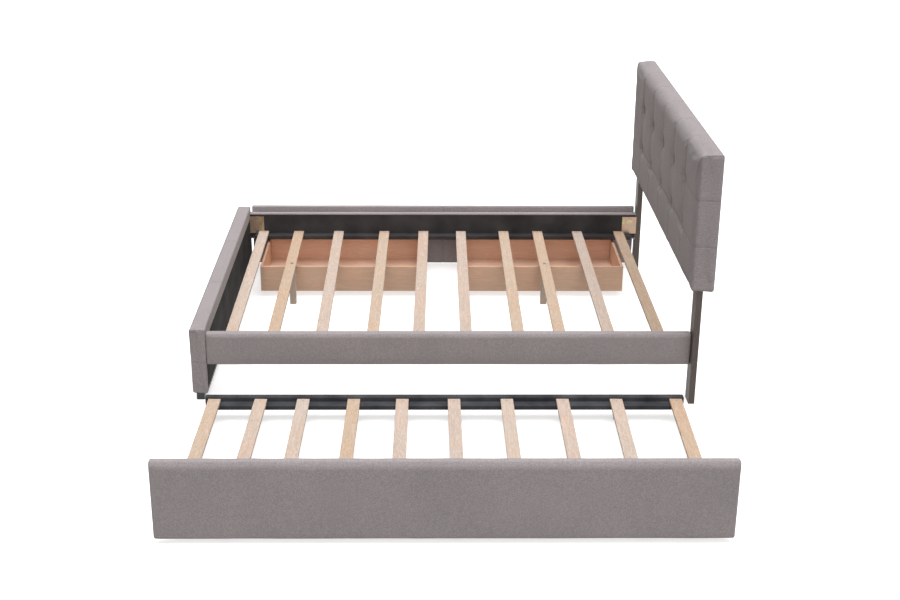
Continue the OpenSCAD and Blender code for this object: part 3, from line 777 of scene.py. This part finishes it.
soft_panel("near_rail_upholstery", "near_rail", -1, "bed", RAIL_ROUND, RAIL_TOP_ROUND, 21,
           crown=2.5 * MM, wrapped=RAIL_WRAP)
soft_panel("far_rail_upholstery", "far_rail", 1, "bed", RAIL_ROUND, RAIL_TOP_ROUND, 22,
           crown=2.5 * MM, wrapped=RAIL_WRAP)
soft_panel("trundle_front_upholstery", "trundle_front", -1, "trundle", PANEL_ROUND,
           PANEL_TOP_ROUND, 31)
for side, seed in (("left", 41), ("right", 51)):
    soft_panel(f"{side}_drawer_front_upholstery", f"{side}_drawer_front", 1, f"{side}_drawer",
               RAIL_ROUND, PANEL_TOP_ROUND, seed, crown=2 * MM, wrapped=DRAWER_WRAP, lip=DRAWER_LIP)


# ---------------------------------------------------------------- wood

def ease(node, material, width, segments=3):
    """Eases the sharp edges of a CAD node with a bevel, and gives it its material."""
    target = NODES[node]
    weld = target.modifiers.new("weld", "WELD")
    weld.merge_threshold = 0.01 * MM
    bevel = target.modifiers.new("eased_edges", "BEVEL")
    bevel.width = width
    bevel.segments = segments
    bevel.limit_method = "ANGLE"
    bevel.angle_limit = math.radians(40)
    bevel.harden_normals = True
    target.data.materials.clear()
    target.data.materials.append(material)


def islands(node):
    """The vertices of each separate solid of a CAD node, in order along X."""
    mesh = NODES[node].data
    co = places(mesh)
    keys = {}
    owner = [keys.setdefault(tuple(np.round(point, 6)), len(keys)) for point in co]
    parent = list(range(len(keys)))

    def root(k):
        while parent[k] != k:
            parent[k] = parent[parent[k]]
            k = parent[k]
        return k

    for face in mesh.polygons:
        ids = [root(owner[k]) for k in face.vertices]
        for k in ids[1:]:
            parent[root(k)] = root(ids[0])
    groups = {}
    for i in range(len(co)):
        groups.setdefault(root(owner[i]), []).append(i)
    return sorted((co[g] for g in groups.values()), key=lambda points: points[:, 0].mean())


def slat_set(name, node, tones, body, radius):
    """Eased slats on the places of a CAD node's slats, each with its own tone.
    Their tops lie a hair below the heads of the screws that are sunk flush in them."""
    verts, faces, values = [], [], []
    for points, tone in zip(islands(node), tones):
        y = points[:, 1]
        near = points[y < y.min() + 3 * MM]
        far = points[y > y.max() - 3 * MM]
        start = np.array([(near[:, 0].min() + near[:, 0].max()) / 2, near[:, 1].mean()])
        stop = np.array([(far[:, 0].min() + far[:, 0].max()) / 2, far[:, 1].mean()])
        length = np.linalg.norm(stop - start)
        ahead = (stop - start) / length
        across = np.array([ahead[1], -ahead[0]])
        half = (near[:, 0].max() - near[:, 0].min()) / 2
        low, high = points[:, 2].min(), points[:, 2].max() - 0.15 * MM
        step = (13 * MM, 40 * MM, 8 * MM)
        local, _, quads = rounded_box((-half, 0, low), (half, length, high), radius, step)
        plan = start + local[:, :1] * across + local[:, 1:2] * ahead
        made = np.column_stack([plan, local[:, 2]])
        first = len(verts)
        verts += made.tolist()
        faces += [[first + k for k in quad] for quad in quads]
        values += [tone] * len(made)
    made = piece(name, verts, faces, body, BIRCH)
    layer = made.data.attributes.new("tone", "FLOAT", "POINT")
    layer.data.foreach_set("value", values)
    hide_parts(node)


BED_TONES = [0.15, 0.85, 0.3, 0.6, 0.4, 0.3, 0.65, 0.75, 0.2, 0.8]
TRUNDLE_TONES = [0.7, 0.4, 0.15, 0.8, 0.3, 0.25, 0.1, 0.35, 0.2, 0.9]
slat_set("bed_slat_set", "bed_slats", BED_TONES, "bed", 1.6 * MM)
slat_set("trundle_slat_set", "trundle_slats", TRUNDLE_TONES, "trundle", 1.6 * MM)
for side in ("left", "right"):
    ease(f"{side}_leg", LEG_BIRCH, 1.2 * MM)
for side in ("near", "far"):
    ease(f"{side}_post", DARK_WOOD, 2.2 * MM)
    ease(f"{side}_ledge", BACKING, 3 * MM)
ease("trundle_back_rail", EDGE_CLOTH, 6 * MM, 4)
ease("trundle_back_ledge", EDGE_CLOTH, 4 * MM)
for side in ("left", "right"):
    # The front walls and bottoms, in shade inside the drawers, get the beech painted lighter
    for part, material in (
        ("outer_side", BEECH_SIDE), ("inner_side", BEECH_SIDE),
        ("front_wall", BEECH_PAINTED_LIGHTER), ("back_wall", BEECH), ("bottom", BEECH_PAINTED_LIGHTER),
    ):
        ease(f"{side}_drawer_{part}", material, 0.8 * MM, 2)
ease("footboard_feet", FOOT_PLASTIC, 2 * MM)
ease("corner_brackets", BRACKET_STEEL, 0.7 * MM, 2)


# ---------------------------------------------------------------- CAD nodes that stay

KEPT = {
    BACKING: [
        "footboard_backing", "near_rail_backing", "far_rail_backing", "headboard_back",
        "trundle_front_backing",
    ],
    UPHOLSTERY: ["left_drawer_front_backing", "right_drawer_front_backing"],
    PLYWOOD: [
        "footboard_core", "near_rail_core", "far_rail_core", "headboard_panel",
        "headboard_battens", "trundle_front_core", "trundle_front_ledge",
        "left_drawer_front_core", "right_drawer_front_core",
    ],
    BRIGHT_STEEL: [
        "bracket_screws", "rail_bolts", "headboard_bolts", "leg_bolts", "trundle_slat_screws",
        "trundle_castors", "left_drawer_castors", "right_drawer_castors",
    ],
    WHEEL_PLASTIC: [
        "trundle_front_wheels", "trundle_back_wheels",
        "left_drawer_front_wheels", "left_drawer_back_wheels",
        "right_drawer_front_wheels", "right_drawer_back_wheels",
    ],
}
for material, names in KEPT.items():
    for name in names:
        data = NODES[name].data
        data.materials.clear()
        data.materials.append(material)


# ---------------------------------------------------------------- stage, light and camera

def make_floor():
    shader = Shader("floor_white", Roughness=0.9)
    shader.surface.inputs["Base Color"].default_value = (0.85, 0.85, 0.85, 1)
    shader.surface.inputs["Emission Color"].default_value = (1, 1, 1, 1)
    shader.surface.inputs["Emission Strength"].default_value = 0.6
    half = 60.0
    mesh = bpy.data.meshes.new("floor")
    corners = [(-half, -half, 0), (half, -half, 0), (half, half, 0), (-half, half, 0)]
    mesh.from_pydata(corners, [], [(0, 1, 2, 3)])
    floor = bpy.data.objects.new("floor", mesh)
    floor.data.materials.append(shader.material)
    bpy.context.scene.collection.objects.link(floor)
    floor.visible_diffuse = False


def make_light():
    world = bpy.data.worlds.new("studio")
    world.use_nodes = True
    tree = world.node_tree
    background = tree.nodes["Background"]
    background.inputs["Strength"].default_value = 0.4
    # The studio is dimmer towards -X
    coords = tree.nodes.new("ShaderNodeTexCoord")
    split = tree.nodes.new("ShaderNodeSeparateXYZ")
    ramp = tree.nodes.new("ShaderNodeMapRange")
    ramp.inputs["From Min"].default_value = -1
    ramp.inputs["To Min"].default_value = 0.32
    ramp.inputs["To Max"].default_value = 1.1
    tint = tree.nodes.new("ShaderNodeMix")
    tint.data_type = "RGBA"
    tint.blend_type = "MULTIPLY"
    tint.inputs[0].default_value = 1.0
    tint.inputs[6].default_value = (1, 0.985, 0.95, 1)
    tree.links.new(coords.outputs["Generated"], split.inputs[0])
    tree.links.new(split.outputs["X"], ramp.inputs["Value"])
    tree.links.new(ramp.outputs["Result"], tint.inputs[7])
    tree.links.new(tint.outputs[2], background.inputs["Color"])
    bpy.context.scene.world = world
    for name, turn, energy, angle, colour in (
        ("overhead", (math.radians(4), 0, 0), 2.82, 1.1, (0.99, 0.985, 1)),
        ("front_fill", (math.radians(62), 0, 0), 0.72, 0.9, (1, 0.98, 0.945)),
    ):
        data = bpy.data.lights.new(name, "SUN")
        data.energy = energy
        data.color = colour
        data.angle = angle
        lamp = bpy.data.objects.new(name, data)
        lamp.rotation_euler = turn
        bpy.context.scene.collection.objects.link(lamp)


def make_camera():
    data = bpy.data.cameras.new("camera")
    data.lens = CAMERA_LENS
    data.sensor_width = CAMERA_SENSOR
    data.shift_x, data.shift_y = CAMERA_SHIFT
    data.clip_end = 200
    ahead = Vector((
        math.sin(CAMERA_YAW) * math.cos(CAMERA_DOWN),
        math.cos(CAMERA_YAW) * math.cos(CAMERA_DOWN),
        -math.sin(CAMERA_DOWN),
    ))
    level = Vector((math.cos(CAMERA_YAW), -math.sin(CAMERA_YAW), 0))
    upright = level.cross(ahead)
    right = level * math.cos(CAMERA_ROLL) + upright * math.sin(CAMERA_ROLL)
    up = upright * math.cos(CAMERA_ROLL) - level * math.sin(CAMERA_ROLL)
    turn = Matrix((right, up, -ahead)).transposed()
    camera = bpy.data.objects.new("camera", data)
    camera.matrix_world = Matrix.Translation(CAMERA_AT) @ turn.to_4x4()
    bpy.context.scene.collection.objects.link(camera)
    bpy.context.scene.camera = camera


make_floor()
make_light()
make_camera()
bpy.context.scene.view_settings.view_transform = "Standard"
